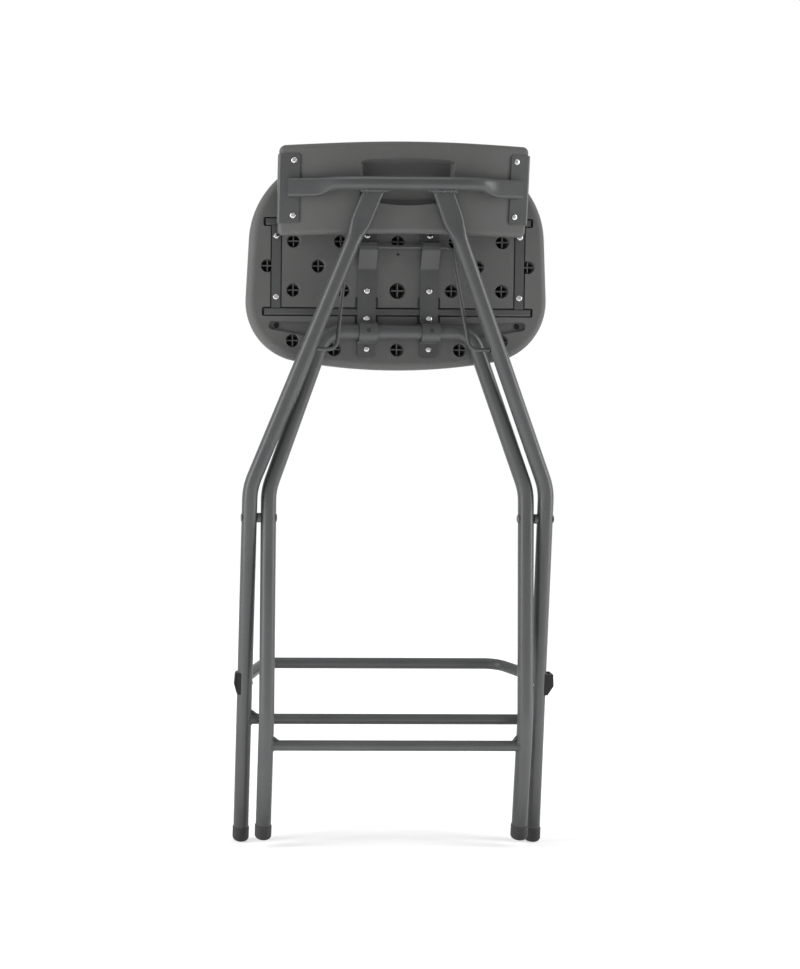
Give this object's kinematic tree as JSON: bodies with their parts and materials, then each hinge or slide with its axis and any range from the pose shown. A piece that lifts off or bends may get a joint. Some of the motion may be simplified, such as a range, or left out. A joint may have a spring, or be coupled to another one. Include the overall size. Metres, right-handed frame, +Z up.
{
  "type": "folding bar stool",
  "caption": "Folding bar stool with a moulded seat and backrest on crossed steel tube frames, a bowed foot rail and a wire link, folded flat.",
  "frame": {"origin": "on the ground, under the middle of the box that holds the folded stool", "axes": "+X to the right seen from behind, +Y the way a sitter faces, +Z up"},
  "size_m": [0.5358, 0.2062, 1.1621],
  "materials": {
    "powder_coat": "satin",
    "moulded_plastic": "fine grain",
    "cap_rubber": "satin",
    "clip_plastic": "satin",
    "zinc": "bright zinc"
  },
  "bodies": {
    "pivots": {"pivot_rivet_left": "powder_coat", "pivot_rivet_right": "powder_coat", "pivot_spacer_left": "powder_coat", "pivot_spacer_right": "powder_coat"},
    "front_frame": {"front_leg_left": "powder_coat", "front_leg_right": "powder_coat", "back_crossbar": "powder_coat", "back_bracket_left": "powder_coat", "back_bracket_right": "powder_coat", "backrest_panel": "moulded_plastic", "backrest_screws": "zinc", "footrest_bow": "powder_coat", "front_lower_rail": "powder_coat", "front_foot_cap_left": "cap_rubber", "front_foot_cap_right": "cap_rubber", "ganging_hook_left": "clip_plastic", "ganging_socket_right": "clip_plastic", "ganging_rivets": "zinc"},
    "rear_frame": {"rear_frame_tube": "powder_coat", "rear_rail": "powder_coat", "rear_foot_cap_left": "cap_rubber", "rear_foot_cap_right": "cap_rubber"},
    "seat": {"seat_shell": "moulded_plastic", "seat_rear_bar": "powder_coat", "seat_front_bar": "powder_coat", "seat_side_bar_left": "powder_coat", "seat_side_bar_right": "powder_coat", "side_bar_screws": "zinc", "seat_strap_left": "powder_coat", "seat_strap_right": "powder_coat", "strap_screws": "zinc"},
    "link": {"link_bail": "powder_coat"}
  },
  "joints": [
    {"name": "fold", "type": "hinge", "parent": "pivots", "child": "front_frame", "pos_m": [-0.0025, -0.02589, 0.55266], "axis": [1, 0, 0], "range_deg": [0, 25.49]},
    {"name": "rear_fold", "type": "hinge", "parent": "pivots", "child": "rear_frame", "pos_m": [-0.0025, -0.02589, 0.55266], "axis": [1, 0, 0], "range_deg": [-31.99, 0]},
    {"name": "seat_swing", "type": "hinge", "parent": "rear_frame", "child": "seat", "pos_m": [-0.0025, -0.02159, 0.86063], "axis": [1, 0, 0], "range_deg": [0, 125.32]},
    {"name": "link_swing", "type": "hinge", "parent": "seat", "child": "link", "pos_m": [-0.0025, -0.02379, 1.00021], "axis": [1, 0, 0], "range_deg": [-168.36, 0]}
  ],
  "couplings": [
    {"joint": "rear_fold", "follows": "fold", "ratio": -1.2509},
    {"joint": "seat_swing", "follows": "fold", "ratio": 4.9125},
    {"joint": "link_swing", "follows": "fold", "ratio": -6.5973}
  ]
}
